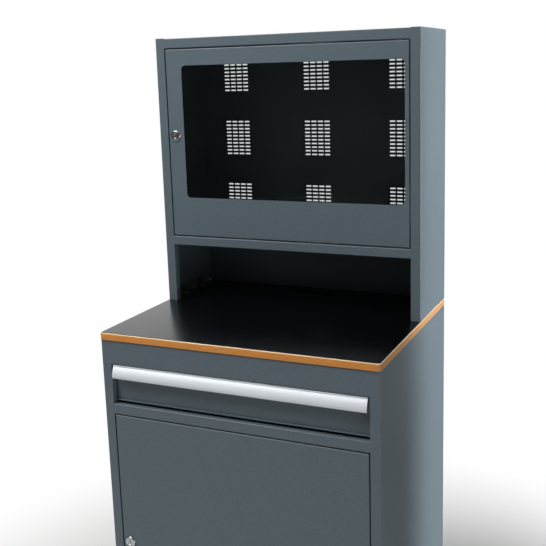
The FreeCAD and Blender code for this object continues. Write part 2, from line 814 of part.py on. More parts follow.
# Window door, its pane and what holds the pane
window_door = pan("window_door_frame", "upper_front", "window_door_bottom", "window_door_top")
window = rect("window_left", "window_right", "window_bottom", "window_top")
cut(window_door, "XZ_Plane", [window])
soften(window_door, edges_at(window_door, "XZ_Plane", window), "window_corner")
group(
    "window_hinge_pins",
    pin,
    [(*UPPER_PIVOT, "window_door_top - pin_engage"), (*UPPER_PIVOT, "monitor_floor")],
)
pane_outline = rect("pane_left", "pane_right", "pane_bottom", "pane_top")
gasket_inner = rect(
    "window_left - gasket_set",
    "window_right + gasket_set",
    "window_bottom - gasket_set",
    "window_top + gasket_set",
)
gasket = keep(new_body("window_gasket"))
pad(gasket, "XZ_Plane", [pane_outline, gasket_inner], "window_skin", "gasket_thick")
soften(gasket, edges_at(gasket, "XZ_Plane", gasket_inner), "window_corner")
pane = keep(new_body("window_pane"))
pad(pane, "XZ_Plane", [pane_outline], "window_skin + gasket_thick", "pane_thick")
clip_corners = [
    ("0", "clip_gap"),
    ("0", "clip_gap + clip_foot"),
    ("clip_gauge", "clip_gap + clip_foot"),
    ("clip_gauge", "clip_gap + clip_gauge"),
    ("pane_stack + clip_gauge", "clip_gap + clip_gauge"),
    ("pane_stack + clip_gauge", "-clip_bite"),
    ("pane_stack", "-clip_bite"),
    ("pane_stack", "clip_gap"),
]
clip = new_body("clip_pattern")
pad(clip, "YZ_Plane", [clip_corners], "-clip_width / 2", "clip_width")
pane_middle = "(pane_left + pane_right) / 2"
pane_wide = "(pane_right - pane_left)"
pane_tall = "(pane_top - pane_bottom)"
pane_clip_spots = []
for side in (-1, 0, 1):
    across = f"{pane_middle} + {side} * {pane_wide} * clip_share"
    pane_clip_spots.append((across, "window_skin", "pane_top", STRAIGHT))
    pane_clip_spots.append((across, "window_skin", "pane_bottom", HALF_TURN_Y))
for side in (-1, 1):
    up = f"(pane_bottom + pane_top) / 2 + {side} * {pane_tall} * clip_share"
    pane_clip_spots.append(("pane_left", "window_skin", up, QUARTER_TURN_Y))
group("pane_clips", clip, pane_clip_spots)
STACK_REAR = "(window_skin + pane_stack)"
strip_corners = [
    ("door_half - sheet_thick", "window_skin + clip_gap"),
    ("door_half - sheet_thick", f"{STACK_REAR} + clip_gauge"),
    ("pane_right - clip_bite", f"{STACK_REAR} + clip_gauge"),
    ("pane_right - clip_bite", STACK_REAR),
    ("door_half - sheet_thick - clip_gauge", STACK_REAR),
    ("door_half - sheet_thick - clip_gauge", "window_skin + clip_gap"),
]
strip = keep(new_body("pane_edge_strip"))
pad(strip, "XY_Plane", [strip_corners], "pane_bottom", pane_tall)
cam_lock(window_door, "window_lock", "upper_front", lock_height("window_door_bottom", "window_door_top"))

# Stops behind the lock side of both doors
stop_corners = [
    ("-sheet_thick", "-stop_leg"),
    ("0", "-stop_leg"),
    ("0", "0"),
    ("stop_bite + sheet_thick", "0"),
    ("stop_bite + sheet_thick", "sheet_thick"),
    ("-sheet_thick", "sheet_thick"),
]
stop = new_body("stop_pattern")
pad(stop, "XY_Plane", [stop_corners], "-stop_height / 2", "stop_height")
stop_spots = []
for front, bottom, top in (
    ("base_front", "lower_door_bottom", "lower_door_top"),
    ("upper_front", "window_door_bottom", "window_door_top"),
):
    for share in ("stop_share", "(1 - stop_share)"):
        up = f"{bottom} + ({top} - {bottom}) * {share}"
        stop_spots.append(("-(open_half + sheet_thick)", f"{front} + jamb_depth", up))
group("door_stops", stop, stop_spots)


def runner(side, name):
    """Telescopic runner on one side: mount, outer, middle and inner members."""

    def section(corners):
        return [(f"{side} * ({across})", f"runner_middle + {up}") for across, up in corners]

    half = "runner_height / 2"
    foot_line = f"{half} + hat_foot"
    mount = section(
        [
            ("open_half", f"-({half})"),
            ("open_half", half),
            ("body_inner - sheet_thick", half),
            ("body_inner - sheet_thick", foot_line),
            ("body_inner", foot_line),
            ("body_inner", f"{half} - sheet_thick"),
            ("open_half + sheet_thick", f"{half} - sheet_thick"),
            ("open_half + sheet_thick", f"sheet_thick - {half}"),
            ("body_inner", f"sheet_thick - {half}"),
            ("body_inner", f"-({foot_line})"),
            ("body_inner - sheet_thick", f"-({foot_line})"),
            ("body_inner - sheet_thick", f"-({half})"),
        ]
    )
    folded(f"runner_mount_{name}", "XZ_Plane", mount, "runner_front", "runner_length")
    step = "(runner_gauge + runner_play)"
    members = (
        ("outer", "open_half", "open_half - runner_width + runner_edge", "0", -1),
        ("middle", f"open_half - {step}", "open_half - runner_width + runner_edge", step, -1),
        ("inner", "drawer_half", f"open_half - 2 * {step}", f"2 * {step}", 1),
    )
    for member, web, tip, inset, way in members:
        reach = f"({half} - {inset})"
        thick = f"{web} + {way} * runner_gauge"
        corners = section(
            [
                (web, f"-{reach}"),
                (web, reach),
                (tip, reach),
                (tip, f"{reach} - runner_gauge"),
                (thick, f"{reach} - runner_gauge"),
                (thick, f"runner_gauge - {reach}"),
                (tip, f"runner_gauge - {reach}"),
                (tip, f"-{reach}"),
            ]
        )
        body = keep(new_body(f"runner_{member}_{name}"))
        pad(body, "XZ_Plane", [corners], "runner_front", "runner_length")


runner(-1, "left")
runner(1, "right")

# Drawer: tray, rear wall and recessed front
tray_corners = [
    ("-drawer_half", "tray_bottom"),
    ("drawer_half", "tray_bottom"),
    ("drawer_half", "tray_top"),
    ("drawer_half - tray_hem", "tray_top"),
    ("drawer_half - tray_hem", "tray_top - sheet_thick"),
    ("drawer_half - sheet_thick", "tray_top - sheet_thick"),
    ("drawer_half - sheet_thick", "tray_bottom + sheet_thick"),
    ("sheet_thick - drawer_half", "tray_bottom + sheet_thick"),
    ("sheet_thick - drawer_half", "tray_top - sheet_thick"),
    ("tray_hem - drawer_half", "tray_top - sheet_thick"),
    ("tray_hem - drawer_half", "tray_top"),
    ("-drawer_half", "tray_top"),
]
folded(
    "drawer_tray",
    "XZ_Plane",
    tray_corners,
    "drawer_back_of_face",
    "tray_depth",
)
TRAY_INNER = "(drawer_half - sheet_thick)"
rear_wall_corners = [
    ("tray_rear", "tray_bottom + sheet_thick"),
    ("tray_rear", "tray_top - sheet_thick"),
    ("tray_rear - sheet_thick", "tray_top - sheet_thick"),
    ("tray_rear - sheet_thick", "tray_bottom + 2 * sheet_thick"),
    ("tray_rear - rear_wall_foot", "tray_bottom + 2 * sheet_thick"),
    ("tray_rear - rear_wall_foot", "tray_bottom + sheet_thick"),
]
folded("drawer_rear_wall", "YZ_Plane", rear_wall_corners, f"-{TRAY_INNER}", f"2 * {TRAY_INNER}")
FRONT_TOP = "(fascia_bottom - drawer_front_gap)"
FRONT_FOOT = "(drawer_floor + drawer_lip_lift)"
front_corners = [
    ("drawer_face - drawer_lip", FRONT_FOOT),
    ("drawer_back_of_face", FRONT_FOOT),
    ("drawer_back_of_face", f"{FRONT_TOP} - sheet_thick"),
    ("drawer_face + drawer_top_flange", f"{FRONT_TOP} - sheet_thick"),
    ("drawer_face + drawer_top_flange", FRONT_TOP),
    ("drawer_face", FRONT_TOP),
    ("drawer_face", f"{FRONT_FOOT} + sheet_thick"),
    ("drawer_face - drawer_lip", f"{FRONT_FOOT} + sheet_thick"),
]
FRONT_HALF = "(open_half - drawer_front_gap)"
folded("drawer_front", "YZ_Plane", front_corners, f"-{FRONT_HALF}", f"2 * {FRONT_HALF}", (1, 5))

# Drawer: aluminium handle along the whole front
LEDGE = "(drawer_face - handle_ledge)"
BAND_FOOT = "(handle_top - handle_band)"
NOSE = "(handle_top - handle_nose_drop)"
LIP_FOOT = "(handle_top - handle_height)"
handle_corners = [
    ("drawer_face", "handle_top"),
    (LEDGE, "handle_top"),
    (LEDGE, BAND_FOOT),
    (f"{LEDGE} + handle_groove", BAND_FOOT, "handle_face_radius", 1),
    ("handle_front", NOSE),
    ("handle_front + handle_groove", NOSE),
    ("handle_front + handle_lip_back", LIP_FOOT),
    ("handle_front + handle_lip_back + handle_wall", LIP_FOOT),
    ("handle_front + handle_groove + handle_wall", NOSE, "handle_face_radius - handle_wall", -1),
    (f"{LEDGE} + handle_groove + handle_wall", f"{BAND_FOOT} - handle_groove"),
    (f"{LEDGE} + handle_groove + handle_wall", "handle_top - handle_wall"),
    ("drawer_face - handle_wall", "handle_top - handle_wall"),
    ("drawer_face - handle_wall", "handle_top - handle_leg"),
    ("drawer_face", "handle_top - handle_leg"),
]
handle = keep(new_body("drawer_handle"))
pad(handle, "YZ_Plane", [handle_corners], "-handle_half", "2 * handle_half")

# Every object has to be up to date and sound before anything is written
doc.recompute()
for item in doc.Objects:
    if "Invalid" in item.State or "Error" in item.State or "Touched" in item.State:
        raise RuntimeError(f"{item.Label}: {item.State}")
slot_count = value("slot_columns * slot_rows * group_columns * group_rows")
full_back = value("2 * body_inner * (roof_top - worktop_height) * sheet_thick")
if abs(full_back - vents.Shape.Volume - slot_count * one_slot) > one_slot / 2:
    raise RuntimeError("upper_back: some vent slots are missing")
for node in nodes:
    if not node.Shape.isValid() or not node.Shape.Solids:
        raise RuntimeError(f"{node.Label}: the shape is not sound")

os.makedirs("parts", exist_ok=True)
for node in nodes:
    node.Shape.exportStep(f"parts/{node.Label}.step")
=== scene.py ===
"""Computer cabinet: finishes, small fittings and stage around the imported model."""

import json
import math

import bmesh
import bpy
from bpy.props import FloatProperty, FloatVectorProperty, IntProperty, PointerProperty
from mathutils import Matrix, Vector


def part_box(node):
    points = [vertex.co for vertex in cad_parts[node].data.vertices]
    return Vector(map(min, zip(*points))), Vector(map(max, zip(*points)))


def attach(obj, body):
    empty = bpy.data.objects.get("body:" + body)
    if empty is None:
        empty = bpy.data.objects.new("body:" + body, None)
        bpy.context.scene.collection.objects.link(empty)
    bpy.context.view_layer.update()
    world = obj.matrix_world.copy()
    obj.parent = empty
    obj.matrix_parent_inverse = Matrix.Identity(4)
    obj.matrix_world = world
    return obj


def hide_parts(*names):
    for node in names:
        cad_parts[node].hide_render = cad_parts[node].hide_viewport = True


bl_info = {
    "name": "Computer cabinet",
    "version": (1, 0, 0),
    "blender": (4, 5, 0),
    "location": "View3D > Sidebar > Cabinet",
    "description": "Finishes and small fittings of a steel computer cabinet",
    "category": "Object",
}

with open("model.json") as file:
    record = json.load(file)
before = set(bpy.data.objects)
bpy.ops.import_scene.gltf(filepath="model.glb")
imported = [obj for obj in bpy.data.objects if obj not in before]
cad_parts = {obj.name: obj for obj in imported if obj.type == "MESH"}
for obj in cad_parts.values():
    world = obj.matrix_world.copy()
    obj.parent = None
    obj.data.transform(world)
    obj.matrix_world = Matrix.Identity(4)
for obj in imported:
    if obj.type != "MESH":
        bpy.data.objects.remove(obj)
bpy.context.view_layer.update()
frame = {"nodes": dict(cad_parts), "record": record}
# The node of each door's panel.
DOORS = {"window": "window_door_frame", "lower": "lower_door_panel"}

# Lengths in metres
MM = 0.001
# Points that lie closer than this count as one place.
TOUCH = 0.01 * MM
# How far a cutting box reaches past the piece that it cuts.
OVERRUN = 1.0 * MM
# Rounding in the bevels must not carry the worktop's board past its solid.
BOARD_MARGIN = 0.005 * MM

# Shares
# An edge or a normal points along an axis if this much of it does.
ALONG_SHARE = 0.99
# Radius of the sunk middle of a lock core, of the core's radius.
CORE_STEP_SHARE = 0.62
# Upright rim of a screw head, and the floor of its slot, of the head's height.
SCREW_RIM_SHARE = 0.35
SCREW_SLOT_SHARE = 0.5
# Where the outer screws of a row sit, of half the width of the sheet that they go through.
SCREW_ROW_SHARE = 0.7
# How much of the gap above or under a door its hinge bush fills.
BUSH_SHARE = 0.85

# Steps of rounded forms, and sides of a nut
BOARD_CORNER_STEPS = 6
BOARD_RIM_STEPS = 5
HANDLE_FACE_STEPS = 14
HANDLE_EDGE_STEPS = 3
RING_RIM_STEPS = 8
RING_BORE_STEPS = 5
CORE_EDGE_STEPS = 4
SCREW_DOME_STEPS = 8
NUT_EDGE_STEPS = 2
NUT_SIDES = 6

# Turns of a copied piece that was modelled upright
UPSIDE_DOWN = Matrix.Rotation(math.pi, 4, "X")
FACING_REAR = Matrix.Rotation(-math.pi / 2, 4, "X")


def linear(code):
    """A colour written as sRGB hex, as the linear values that shaders use."""
    channels = [int(code[i:i + 2], 16) / 255 for i in (1, 3, 5)]
    return tuple(c / 12.92 if c <= 0.04045 else ((c + 0.055) / 1.055) ** 2.4 for c in channels) + (1.0,)


def length(name, text, millimetres):
    """A size that a user may change, kept in metres."""
    return FloatProperty(
        name=name, description=text, default=millimetres * MM, min=0.0, precision=4, unit="LENGTH"
    )


def colour(name, text, code):
    """A colour that a user may change, written as sRGB hex."""
    return FloatVectorProperty(
        name=name, description=text, default=linear(code), size=4, min=0, max=1, subtype="COLOR"
    )


class CabinetSizes(bpy.types.PropertyGroup):
    """Sizes of the pieces that are modelled here."""

    sheet: length("Sheet", "Thickness of the folded steel sheet", 1.2)
    ring_round: length("Ring rounding", "Rounded outer rim of a lock ring", 2.6)
    bore_round: length("Bore rounding", "Rounded inner rim of a lock ring", 0.7)
    slot_width: length("Key slot width", "Width of the key slot in a lock core", 2.2)
    slot_height: length("Key slot height", "Height of the key slot in a lock core", 8.6)
    slot_depth: length("Key slot depth", "Depth of the key slot in a lock core", 6.0)
    sleeve_radius: length("Sleeve radius", "Crest of the thread on a lock sleeve", 9.6)
    thread_pitch: length("Thread pitch", "Distance between two crests of that thread", 1.5)
    thread_depth: length("Thread depth", "Depth of that thread", 0.9)
    nut_radius: length("Nut radius", "Corner radius of a lock nut", 14.5)
    nut_thick: length("Nut thickness", "Thickness of a lock nut", 4.0)
    nut_chamfer: length("Nut chamfer", "Chamfer along the edges of a lock nut", 0.6)
    plug_play: length("Plug play", "Play between a lock's ring and its core", 0.05)
    core_step: length("Core step", "Depth of the sunk middle of a lock core", 0.5)
    sleeve_play: length("Sleeve play", "Play between a lock sleeve and its core", 0.2)
    sleeve_set: length("Sleeve set", "How far a lock sleeve ends before its core", 0.8)
    screw_head: length("Screw head radius", "Radius of a pan head", 4.6)
    screw_rise: length("Screw head height", "Height of a pan head", 2.4)
    screw_slot: length("Screw slot width", "Width of the slot in a screw head", 1.1)
    bracket_set: length("Bracket screw set", "From a bracket's end to its screw", 15.0)
    bracket_inset: length("Bracket screw inset", "From a bracket's outer edge to its screw", 12.0)
    rail_set: length("Worktop screw set", "From the inner edge of a rail's flange to its screw", 15.0)
    handle_screw_rise: length("Handle screw rise", "From the handle's foot to its screws", 20.0)
    bush_radius: length("Bush radius", "Outer radius of a hinge bush", 5.2)
    bush_edge: length("Bush edge", "Chamfer along the rim of a hinge bush", 0.4)
    pin_play: length("Pin play", "Play between a hinge bush and its pin", 0.1)
    board_arris: length("Worktop arris", "Rounding along the worktop's upper edge", 2.0)
    board_foot: length("Worktop foot", "Rounding along the worktop's lower edge", 2.0)
    board_corner: length("Worktop corner", "Rounding of the worktop's upright corners", 6.0)
    film_edge: length("Film edge", "Rounding along the film's upper edge", 0.3)
    outlet_width: length("Outlet width", "Width of the hole for cables", 110)
    outlet_depth: length("Outlet depth", "Depth of the hole for cables", 34)
    handle_height: length("Handle height", "Height of the handle extrusion", 32.5)
    handle_wall: length("Handle wall", "Wall of the handle extrusion", 2.0)
    handle_ledge: length("Handle ledge", "How far the top of the handle stands out", 15.0)
    handle_band: length("Handle band", "Height of the flat band along the top", 4.0)
    handle_groove: length("Handle groove", "Depth of the groove under the band", 0.7)
    handle_nose: length("Handle nose", "Depth of the nose below the top", 28.0)
    handle_face: length("Handle face radius", "Radius of the rounded face", 50.0)
    handle_lip: length("Handle lip", "How far the lower lip stands back", 0.9)
    handle_leg: length("Handle leg", "Height of the leg on the drawer front", 24.0)
    handle_notch: length("Handle notch", "How far the leg ends before the handle does", 10.0)
    handle_edge: length("Handle edge", "Rounding of the extrusion's arrises", 0.35)
    turns: IntProperty(name="Steps", description="Steps of a turned piece", default=72, min=12)


class CabinetColours(bpy.types.PropertyGroup):
    """Colours of the finishes."""

    coat: colour("Powder coat", "Blue-grey powder coat on the steel", "#59666E")
    film: colour("Film", "Black phenolic film on the worktop", "#030407")
    ply_light: colour("Ply, long grain", "Plies seen along their grain", "#E39A4A")
    ply_dark: colour("Ply, end grain", "Plies seen on their end grain", "#C67C33")
    # Painted sheen: a greyer, darker tone on the short sides stands in for the backdrop's sheen there.
    ply_side_sheen: colour("Ply, painted sheen", "Plies on the worktop's short sides", "#B0865B")
    # Partly the paler sanded wood, partly a painted highlight along the upper arris.
    ply_sanded_highlight: colour("Ply, sanded with painted highlight", "Plies where the upper arris is sanded round", "#F6DDB4")
    aluminium: colour("Aluminium", "Silver anodised aluminium", "#F0F4F8")
    chrome: colour("Chrome", "Polished chrome of the locks", "#C9CCCF")
    zinc: colour("Zinc", "Zinc plated steel", "#A9ADB0")
    plastic: colour("Plastic", "Moulded black plastic", "#17181A")
    rubber: colour("Rubber", "Extruded rubber seal", "#101011")
    glass: colour("Glass", "Clear safety glass", "#D2D7D6")
    floor: colour("Floor", "Pale studio floor", "#E2E2E0")


# Materials

WHITE = linear("#FFFFFF")
# The two colours that a mix node takes, and its output, by the numbers of their sockets.
MIX_FIRST = 6
MIX_SECOND = 7
MIX_RESULT = 2
# How far from the middle the floor starts to turn white, and where it is white, in metres.
FLOOR_FADE = (0.55, 1.5)


def add_node(tree, kind, inputs=None, **settings):
    """Add a shader node; an input is a value or the socket that feeds it."""
    node = tree.nodes.new(kind)
    for name, value in settings.items():
        setattr(node, name, value)
    for key, value in (inputs or {}).items():
        if isinstance(value, bpy.types.NodeSocket):
            tree.links.new(value, node.inputs[key])
        else:
            node.inputs[key].default_value = value
    return node


def new_material(name, **surface):
    """A material with its main shader set to the given values."""
    material = bpy.data.materials.new(name)
    material.use_nodes = True
    shader = material.node_tree.nodes["Principled BSDF"]
    for key, value in surface.items():
        shader.inputs[key.replace("_", " ")].default_value = value
    return material, material.node_tree, shader


def shade(value, factor):
    """A colour made darker or lighter."""
    return tuple(min(1.0, c * factor) for c in value[:3]) + (1.0,)


def grains(size):
    """Scale of a noise whose grains are that many millimetres wide."""
    return 1 / (size * MM)


def grained(name, tint, grain, detail, tones, gloss=None, relief=None, stretch=None, cloud=None, **surface):
    """A material whose colour, gloss and relief follow one noise.

    The grain is in millimetres, the tones are shares of the tint, the gloss is a range of roughness, and
    the relief is the bump's strength and its depth in millimetres. A stretch draws the grain out along an
    axis. With a cloud, in millimetres, the gloss follows a softer noise of that size instead.
    """
    material, tree, shader = new_material(name, **surface)
    place = add_node(tree, "ShaderNodeTexCoord").outputs["Object"]
    spot = place
    if stretch:
        spot = add_node(tree, "ShaderNodeMapping", {"Vector": place, "Scale": stretch}).outputs[0]
    noise = add_node(tree, "ShaderNodeTexNoise", {"Vector": spot, "Scale": grains(grain), "Detail": detail})
    level = noise.outputs["Fac"]
    ends = {"Factor": level, MIX_FIRST: shade(tint, tones[0]), MIX_SECOND: shade(tint, tones[1])}
    mixed = add_node(tree, "ShaderNodeMix", ends, data_type="RGBA")
    tree.links.new(mixed.outputs[MIX_RESULT], shader.inputs["Base Color"])
    if gloss:
        sheen = level
        if cloud:
            soft = {"Vector": place, "Scale": grains(cloud), "Detail": 1.0}
            sheen = add_node(tree, "ShaderNodeTexNoise", soft).outputs["Fac"]
        span = {"Value": sheen, "To Min": gloss[0], "To Max": gloss[1]}
        rough = add_node(tree, "ShaderNodeMapRange", span)
        tree.links.new(rough.outputs[0], shader.inputs["Roughness"])
    if relief:
        raised = {"Height": level, "Strength": relief[0], "Distance": relief[1] * MM}
        bump = add_node(tree, "ShaderNodeBump", raised)
        tree.links.new(bump.outputs[0], shader.inputs["Normal"])
    return material


def powder_coat(colours):
    """Powder coat, sprayed on steel and baked."""
    # A satin skin: fine pebbles break up its highlights, and its gloss drifts a little over a panel.
    # The pebbles are under 1 mm on the real coat; they are drawn coarser so that they show.
    return grained(
        "powder_coated_steel",
        colours.coat,
        grain=5.0,
        detail=2.0,
        tones=(0.8, 1.2),
        gloss=(0.38, 0.46),
        relief=(0.35, 0.6),
        cloud=160,
        IOR=1.5,
    )


def phenolic_film(colours):
    """Phenolic film, pressed on hot."""
    # Black and satin: it mirrors what is bright behind it, a little blurred by a faint even grain.
    # The grain is finer on the real film; it is drawn coarser so that it shows.
    return grained(
        "phenolic_film",
        colours.film,
        grain=1.6,
        detail=3.0,
        tones=(0.7, 1.3),
        gloss=(0.2, 0.3),
        relief=(0.05, 0.2),
        IOR=1.5,
    )


def anodised_aluminium(colours):
    """Anodised aluminium, extruded."""
    # A soft silver sheen, drawn out along the length by the die's lines.
    # The lines are finer on the real extrusion; they are drawn coarser so that they show.
    return grained(
        "satin_anodised_aluminium",
        colours.aluminium,
        grain=0.9,
        detail=3.0,
        tones=(0.9, 1.06),
        gloss=(0.7, 0.78),
        relief=(0.06, 0.2),
        stretch=(0.012, 1.0, 1.0),
        Metallic=1.0,
    )


def plated_metal(name, tint, gloss):
    """Plated metal, cloudy in tone and gloss over a few millimetres."""
    return grained(name, tint, grain=5, detail=4.0, tones=(0.88, 1.08), gloss=gloss, Metallic=1.0)


def polished_chrome(colours):
    """Chrome, plated and polished."""
    # Bright and mirroring, with a faint cloudiness from handling.
    return plated_metal("polished_chrome", colours.chrome, (0.2, 0.3))


def zinc_plated_steel(colours):
    """Steel, zinc plated."""
    # A duller, greyer shine than chrome, with cloudy spangles.
    return plated_metal("zinc_plated_steel", colours.zinc, (0.32, 0.5))


def moulded(name, tint, grain, gloss):
    """Moulded plastic or rubber, with the fine grain of its tool."""
    # The tool's grain is drawn coarser than it is, so that it shows.
    return grained(
        name, tint, grain=grain, detail=2.0, tones=(0.8, 1.2), gloss=gloss, relief=(0.12, 0.3), IOR=1.48
    )


def moulded_plastic(colours):
    """Plastic, injection moulded."""
    # Black, with a dull shine that the tool's grain breaks up.
    return moulded("moulded_plastic", colours.plastic, 0.9, (0.44, 0.56))


def extruded_rubber(colours):
    """Rubber, extruded."""
    # Black and almost without shine.
    return moulded("extruded_rubber", colours.rubber, 0.7, (0.56, 0.68))


def plywood(colours):
    """Beech plywood, sawn, sanded and sealed along its edge."""
    # Warm ply stripes, greyed by painted sheen on the short sides, pale on the sanded arris with a painted
    # highlight.
    # A ply is about 1.5 mm thick, so a light and a dark one repeat every 3 mm.
    ply_pair = 3.0 * MM
    # Depths where the short sides' painted sheen and the arris's pale, partly painted highlight start and
    # are full.
    side_sheen_depths = (4.0 * MM, 0.5 * MM)
    arris_highlight_depths = (2.0 * MM, 1.0 * MM)
    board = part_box("worktop_board")[1]
    material, tree, shader = new_material("beech_plywood", Roughness=0.45, IOR=1.5)
    place = add_node(tree, "ShaderNodeTexCoord").outputs["Object"]
    axes = add_node(tree, "ShaderNodeSeparateXYZ", {"Vector": place}).outputs
    turn = 2 * math.pi / ply_pair
    level = add_node(tree, "ShaderNodeMath", {0: axes["Z"], 1: turn}, operation="MULTIPLY").outputs[0]
    wave = add_node(tree, "ShaderNodeMath", {0: level}, operation="SINE").outputs[0]
    plies = add_node(tree, "ShaderNodeMapRange", {"Value": wave, "From Min": -0.5, "From Max": 0.5})
    side = add_node(tree, "ShaderNodeMath", {0: axes["X"]}, operation="ABSOLUTE").outputs[0]
    # Painted sheen: the short sides go over into the greyer tone, as if the backdrop's sheen lay on them.
    rim = {"From Min": board.x - side_sheen_depths[0], "From Max": board.x - side_sheen_depths[1], "To Max": 0.75}
    ends = add_node(tree, "ShaderNodeMapRange", {"Value": side, **rim})
    # Painted highlight: the upper arris turns pale, partly for its sanded wood and partly for the light that
    # it catches.
    rim = {"From Min": board.z - arris_highlight_depths[0], "From Max": board.z - arris_highlight_depths[1]}
    sanded = add_node(tree, "ShaderNodeMapRange", {"Value": axes["Z"], **rim})
    wood = colours.ply_dark
    for share, over in ((plies, colours.ply_light), (ends, colours.ply_side_sheen), (sanded, colours.ply_sanded_highlight)):
        layers = {"Factor": share.outputs[0], MIX_FIRST: wood, MIX_SECOND: over}
        wood = add_node(tree, "ShaderNodeMix", layers, data_type="RGBA").outputs[MIX_RESULT]
    # Streaks run along the board, 26 mm long and a twenty-fourth of that high; pores are 1.4 mm wide.
    along = add_node(tree, "ShaderNodeMapping", {"Vector": place, "Scale": (1.0, 1.0, 24.0)}).outputs[0]
    streak = add_node(tree, "ShaderNodeTexNoise", {"Vector": along, "Scale": grains(26), "Detail": 5.0})
    pore = add_node(tree, "ShaderNodeTexNoise", {"Vector": place, "Scale": grains(1.4), "Detail": 2.0})
    grain, speck = (
        add_node(tree, "ShaderNodeMapRange", {"Value": noise.outputs["Fac"], "To Min": low, "To Max": high})
        for noise, low, high in ((streak, 0.6, 1.35), (pore, 0.85, 1.15))
    )
    both = {0: grain.outputs[0], 1: speck.outputs[0]}
    tone = add_node(tree, "ShaderNodeMath", both, operation="MULTIPLY").outputs[0]
    toned = add_node(tree, "ShaderNodeVectorMath", {0: wood, "Scale": tone}, operation="SCALE")
    tree.links.new(toned.outputs[0], shader.inputs["Base Color"])
    bump = add_node(tree, "ShaderNodeBump", {"Height": tone, "Strength": 0.1, "Distance": 0.3 * MM})
    tree.links.new(bump.outputs[0], shader.inputs["Normal"])
    return material


def safety_glass(colours):
    """Safety glass, floated."""
    # Clear, with a faint green cast and a few wiping traces that dull its reflections.
    material, tree, shader = new_material(
        "safety_glass", IOR=1.5, Base_Color=colours.glass, Transmission_Weight=1.0
    )
    place = add_node(tree, "ShaderNodeTexCoord").outputs["Object"]
    trace = add_node(tree, "ShaderNodeTexNoise", {"Vector": place, "Scale": grains(90), "Detail": 4.0})
    gloss = {"Value": trace.outputs["Fac"], "To Min": 0.0, "To Max": 0.03}
    rough = add_node(tree, "ShaderNodeMapRange", gloss)
    tree.links.new(rough.outputs[0], shader.inputs["Roughness"])
    return material


def straight_view(tree):
    """A socket that is 1 for what is seen directly or only through the pane, and 0 for everything else."""
    path = add_node(tree, "ShaderNodeLightPath").outputs
    # A ray that has met another surface counts as room light, or the pane would let in white light.
    met = add_node(tree, "ShaderNodeMath", {0: path["Diffuse Depth"], 1: path["Glossy Depth"]}).outputs[0]
    direct = add_node(tree, "ShaderNodeMath", {0: met, 1: 0.5}, operation="LESS_THAN").outputs[0]
    both = {0: path["Is Transmission Ray"], 1: direct}
    through = add_node(tree, "ShaderNodeMath", both, operation="MULTIPLY").outputs[0]
    either = {0: path["Is Camera Ray"], 1: through}
    return add_node(tree, "ShaderNodeMath", either, operation="MAXIMUM").outputs[0]


def studio_floor(colours):
    """Studio floor, painted."""
    # Pale and matt with faint specks round the part, where its shadow falls, and plain white further out.
    material = grained(
        "studio_floor", colours.floor, grain=30, detail=3.0, tones=(0.99, 1.01), Roughness=0.6
    )
    tree = material.node_tree
    place = add_node(tree, "ShaderNodeTexCoord").outputs["Object"]
    distance = add_node(tree, "ShaderNodeVectorMath", {0: place}, operation="LENGTH").outputs["Value"]
    fade = {"Value": distance, "From Min": FLOOR_FADE[0], "From Max": FLOOR_FADE[1]}
    far = add_node(tree, "ShaderNodeMapRange", fade, interpolation_type="SMOOTHSTEP").outputs[0]
    both = {0: far, 1: straight_view(tree)}
    seen = add_node(tree, "ShaderNodeMath", both, operation="MULTIPLY").outputs[0]
    white = add_node(tree, "ShaderNodeEmission", {"Color": WHITE, "Strength": 1.0}).outputs[0]
    paint = tree.nodes["Principled BSDF"].outputs[0]
    mixed = add_node(tree, "ShaderNodeMixShader", {0: seen, 1: paint, 2: white})
    tree.links.new(mixed.outputs[0], tree.nodes["Material Output"].inputs["Surface"])
    return material


MAKERS = {
    "powder_coat": powder_coat,
    "black_film": phenolic_film,
    "plywood": plywood,
    "anodised_aluminium": anodised_aluminium,
    "lock_chrome": polished_chrome,
    "zinc_plate": zinc_plated_steel,
    "black_plastic": moulded_plastic,
    "seal_rubber": extruded_rubber,
    "clear_glass": safety_glass,
}
finishes = {}


def finish(slot):
    """The material of one of the record's slots, made when it is first asked for."""
    if slot not in finishes:
        finishes[slot] = MAKERS[slot](bpy.context.scene.cabinet_colours)
    return finishes[slot]


# Modelling


def clear_selection():
    """Leave edit mode and deselect everything."""
    if bpy.context.object and bpy.context.object.mode != "OBJECT":
        bpy.ops.object.mode_set(mode="OBJECT")
    bpy.ops.object.select_all(action="DESELECT")


def pick(piece):
    """Select one piece alone and make it the active one."""
    clear_selection()
    piece.select_set(True)
    bpy.context.view_layer.objects.active = piece


def choose(kind, test):
    """Select the verts, edges or faces of the piece in edit mode whose middle and direction pass a test."""
    bpy.ops.mesh.select_mode(type=kind)
    bpy.ops.mesh.select_all(action="DESELECT")
    mesh = bpy.context.edit_object.data
    edit = bmesh.from_edit_mesh(mesh)
    for item in {"VERT": edit.verts, "EDGE": edit.edges, "FACE": edit.faces}[kind]:
        if kind == "FACE":
            passed = test(item.calc_center_median(), item.normal)
        elif kind == "EDGE":
            ends = [v.co for v in item.verts]
            passed = test((ends[0] + ends[1]) / 2, (ends[1] - ends[0]).normalized())
        else:
            passed = test(item.co, item.normal)
        item.select_set(passed)
    edit.select_flush_mode()
    bmesh.update_edit_mesh(mesh)


def apply_place():
    """Put the place, turn and scale of the selected piece into its mesh."""
    bpy.ops.object.transform_apply(location=True, rotation=True, scale=True)


def face_outwards():
    """Turn all faces of the piece in edit mode outwards."""
    bpy.ops.mesh.select_all(action="SELECT")
    bpy.ops.mesh.normals_make_consistent(inside=False)


